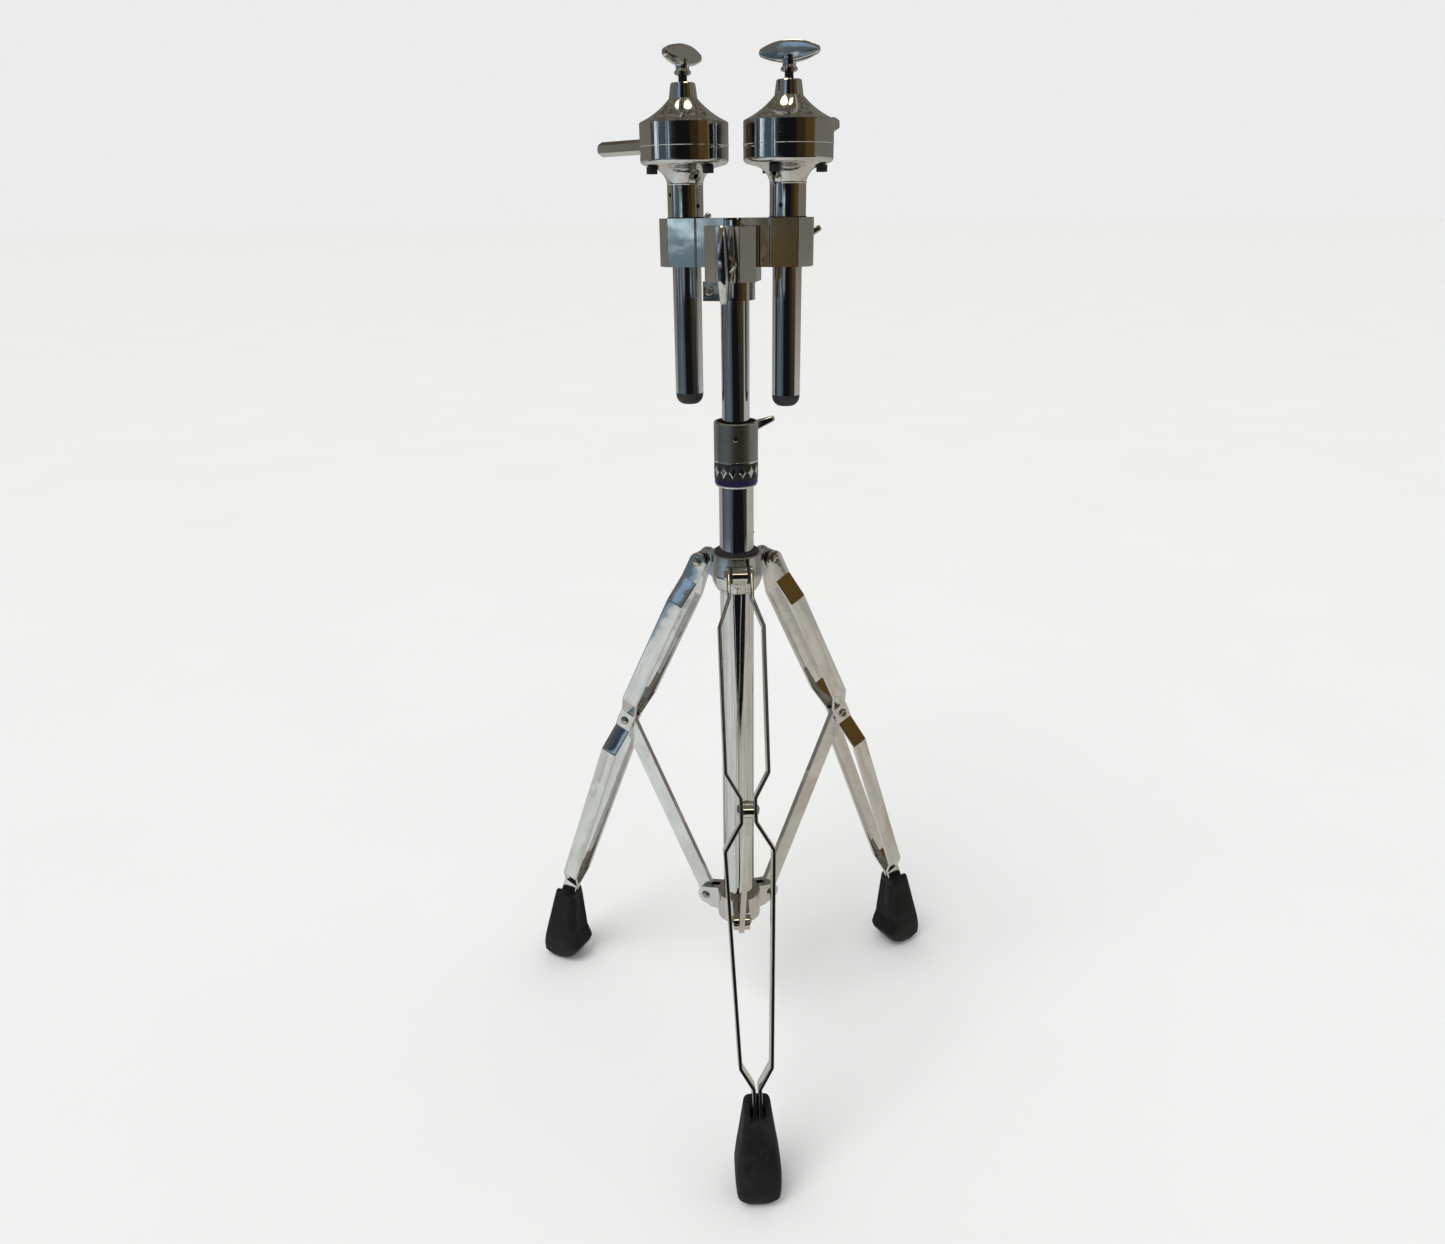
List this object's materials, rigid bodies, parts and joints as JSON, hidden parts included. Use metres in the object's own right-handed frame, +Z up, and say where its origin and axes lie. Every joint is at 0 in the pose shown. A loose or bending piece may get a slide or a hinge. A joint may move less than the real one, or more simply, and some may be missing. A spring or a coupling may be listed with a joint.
{
  "type": "timbale stand",
  "caption": "Folding tripod stand with a telescoping mast and a twin bracket whose two ball heads carry hexagonal drum rods; the drums are not part of it.",
  "frame": {"origin": "on the floor, on the axis of the mast", "axes": "+Z up along the mast, -Y towards the front leg, +X to the right as seen from the front"},
  "size_m": [0.4156, 0.36, 0.8606],
  "materials": {
    "bright_chrome": "bright chrome plate over polished steel",
    "cast_chrome": "chrome plate over a casting, slightly softer than the tubes",
    "satin_metal": "fine satin gun-metal plate",
    "leg_chrome": "bright chrome plate on pressed flat bar",
    "rivet_steel": "plated rivet, half polished",
    "foot_rubber": "matt moulded rubber",
    "band_black": "satin black band with no lettering",
    "trim_violet": "dark violet plastic ring",
    "bushing_black": "black nylon",
    "tip_black": "dark grey plastic end plug",
    "seat_nylon": "natural nylon",
    "screw_black": "black oxide screw"
  },
  "bodies": {
    "crown": {"crown": "cast_chrome", "crown_bushing": "bushing_black", "crown_pins": "rivet_steel", "pivot_washers": "bushing_black"},
    "mast": {"mast_tube": "bright_chrome", "height_boss": "satin_metal", "boss_band": "band_black", "boss_trim_ring": "trim_violet", "boss_bushing": "bushing_black", "leg_collar": "cast_chrome", "collar_pins": "rivet_steel"},
    "upper_mast": {"upper_tube": "bright_chrome", "memory_collar": "cast_chrome", "memory_screw": "rivet_steel"},
    "bracket": {"bracket": "cast_chrome"},
    "crown_screw": {"crown_wing_screw": "cast_chrome"},
    "boss_screw": {"boss_wing_screw": "cast_chrome"},
    "bracket_screw": {"bracket_wing_screw": "cast_chrome"},
    "front_leg": {"front_leg_bar_a": "leg_chrome", "front_leg_bar_b": "leg_chrome", "front_foot": "foot_rubber", "front_knee_pin": "rivet_steel"},
    "front_link": {"front_strut": "leg_chrome"},
    "left_leg": {"left_leg_bar_a": "leg_chrome", "left_leg_bar_b": "leg_chrome", "left_foot": "foot_rubber", "left_knee_pin": "rivet_steel"},
    "left_link": {"left_strut": "leg_chrome"},
    "right_leg": {"right_leg_bar_a": "leg_chrome", "right_leg_bar_b": "leg_chrome", "right_foot": "foot_rubber", "right_knee_pin": "rivet_steel"},
    "right_link": {"right_strut": "leg_chrome"},
    "left_ring": {"left_post_washer": "bushing_black"},
    "left_post": {"left_down_tube": "bright_chrome", "left_tube_tip": "tip_black", "left_ball_cup": "cast_chrome", "left_ball_cap": "cast_chrome", "left_cap_screws": "screw_black", "left_set_screws": "screw_black"},
    "left_seat": {"left_ball_seat": "seat_nylon"},
    "left_rod": {"left_ball": "bright_chrome", "left_hex_rod": "bright_chrome"},
    "left_head_screw": {"left_head_wing_screw": "cast_chrome"},
    "left_post_screw": {"left_post_wing_screw": "cast_chrome"},
    "right_ring": {"right_post_washer": "bushing_black"},
    "right_post": {"right_down_tube": "bright_chrome", "right_tube_tip": "tip_black", "right_ball_cup": "cast_chrome", "right_ball_cap": "cast_chrome", "right_cap_screws": "screw_black", "right_set_screws": "screw_black"},
    "right_seat": {"right_ball_seat": "seat_nylon"},
    "right_rod": {"right_ball": "bright_chrome", "right_hex_rod": "bright_chrome"},
    "right_head_screw": {"right_head_wing_screw": "cast_chrome"},
    "right_post_screw": {"right_post_wing_screw": "cast_chrome"}
  },
  "joints": [
    {"name": "legs_fold", "type": "hinge", "parent": "crown", "child": "front_leg", "pos_m": [0, -0.032, 0.472], "axis": [1, 0, 0], "range_deg": [0, 18.5]},
    {"name": "front_link_hinge", "type": "hinge", "parent": "front_leg", "child": "front_link", "pos_m": [0, -0.115, 0.3025], "axis": [1, 0, 0], "range_deg": [-37, 0]},
    {"name": "left_leg_fold", "type": "hinge", "parent": "crown", "child": "left_leg", "pos_m": [-0.02771, 0.016, 0.472], "axis": [-0.5, -0.866, 0], "range_deg": [0, 18.5]},
    {"name": "left_link_hinge", "type": "hinge", "parent": "left_leg", "child": "left_link", "pos_m": [-0.09959, 0.0575, 0.3025], "axis": [-0.5, -0.866, 0], "range_deg": [-37, 0]},
    {"name": "right_leg_fold", "type": "hinge", "parent": "crown", "child": "right_leg", "pos_m": [0.02771, 0.016, 0.472], "axis": [-0.5, 0.866, 0], "range_deg": [0, 18.5]},
    {"name": "right_link_hinge", "type": "hinge", "parent": "right_leg", "child": "right_link", "pos_m": [0.09959, 0.0575, 0.3025], "axis": [-0.5, 0.866, 0], "range_deg": [-37, 0]},
    {"name": "mast_slide", "type": "slide", "parent": "crown", "child": "mast", "axis": [0, 0, -1], "range_m": [0, 0.0382]},
    {"name": "height_slide", "type": "slide", "parent": "mast", "child": "upper_mast", "axis": [0, 0, 1], "range_m": [0, 0.2]},
    {"name": "bracket_swivel", "type": "hinge", "parent": "upper_mast", "child": "bracket", "pos_m": [0, 0, 0.72], "axis": [0, 0, 1], "continuous": true},
    {"name": "left_post_slide", "type": "slide", "parent": "bracket", "child": "left_ring", "axis": [0, 0, 1], "range_m": [0, 0.08]},
    {"name": "left_post_turn", "type": "hinge", "parent": "left_ring", "child": "left_post", "pos_m": [-0.03591, 0.0172, 0.745], "axis": [0, 0, 1], "range_deg": [-35, 115]},
    {"name": "left_rod_yaw", "type": "hinge", "parent": "left_post", "child": "left_seat", "pos_m": [-0.03591, 0.0172, 0.795], "axis": [0, 0, 1], "range_deg": [-18, 18]},
    {"name": "left_rod_tilt", "type": "hinge", "parent": "left_seat", "child": "left_rod", "pos_m": [-0.03591, 0.0172, 0.795], "axis": [0.7431, 0.6691, 0], "range_deg": [-10, 12]},
    {"name": "left_head_screw_turn", "type": "hinge", "parent": "left_post", "child": "left_head_screw", "pos_m": [-0.03591, 0.0172, 0.84], "axis": [0, 0, 1], "range_deg": [0, 270]},
    {"name": "left_post_screw_turn", "type": "hinge", "parent": "bracket", "child": "left_post_screw", "pos_m": [-0.02937, 0.0434, 0.72625], "axis": [0.2419, 0.9703, 0], "range_deg": [0, 270]},
    {"name": "right_post_slide", "type": "slide", "parent": "bracket", "child": "right_ring", "axis": [0, 0, 1], "range_m": [0, 0.08]},
    {"name": "right_post_turn", "type": "hinge", "parent": "right_ring", "child": "right_post", "pos_m": [0.03978, -0.00167, 0.745], "axis": [0, 0, 1], "range_deg": [-140, 15]},
    {"name": "right_rod_yaw", "type": "hinge", "parent": "right_post", "child": "right_seat", "pos_m": [0.03978, -0.00167, 0.795], "axis": [0, 0, 1], "range_deg": [-18, 18]},
    {"name": "right_rod_tilt", "type": "hinge", "parent": "right_seat", "child": "right_rod", "pos_m": [0.03978, -0.00167, 0.795], "axis": [0.8746, -0.4848, 0], "range_deg": [-20, 2]},
    {"name": "right_head_screw_turn", "type": "hinge", "parent": "right_post", "child": "right_head_screw", "pos_m": [0.03978, -0.00167, 0.84], "axis": [0, 0, 1], "range_deg": [0, 270]},
    {"name": "right_post_screw_turn", "type": "hinge", "parent": "bracket", "child": "right_post_screw", "pos_m": [0.04631, 0.02453, 0.72625], "axis": [0.2419, 0.9703, 0], "range_deg": [0, 270]},
    {"name": "crown_screw_turn", "type": "hinge", "parent": "crown", "child": "crown_screw", "pos_m": [0, 0.035, 0.466], "axis": [0, 1, 0], "range_deg": [0, 270]},
    {"name": "boss_screw_turn", "type": "hinge", "parent": "mast", "child": "boss_screw", "pos_m": [0.01026, 0.02819, 0.579], "axis": [0.342, 0.9397, 0], "range_deg": [0, 270]},
    {"name": "bracket_screw_turn", "type": "hinge", "parent": "bracket", "child": "bracket_screw", "pos_m": [-0.00847, -0.03396, 0.712], "axis": [-0.2419, -0.9703, 0], "range_deg": [0, 270]}
  ],
  "couplings": [
    {"joint": "front_link_hinge", "follows": "legs_fold", "ratio": -2},
    {"joint": "left_leg_fold", "follows": "legs_fold", "ratio": 1},
    {"joint": "left_link_hinge", "follows": "legs_fold", "ratio": -2},
    {"joint": "right_leg_fold", "follows": "legs_fold", "ratio": 1},
    {"joint": "right_link_hinge", "follows": "legs_fold", "ratio": -2},
    {"joint": "mast_slide", "follows": "legs_fold", "m_per_rad": 0.118}
  ]
}
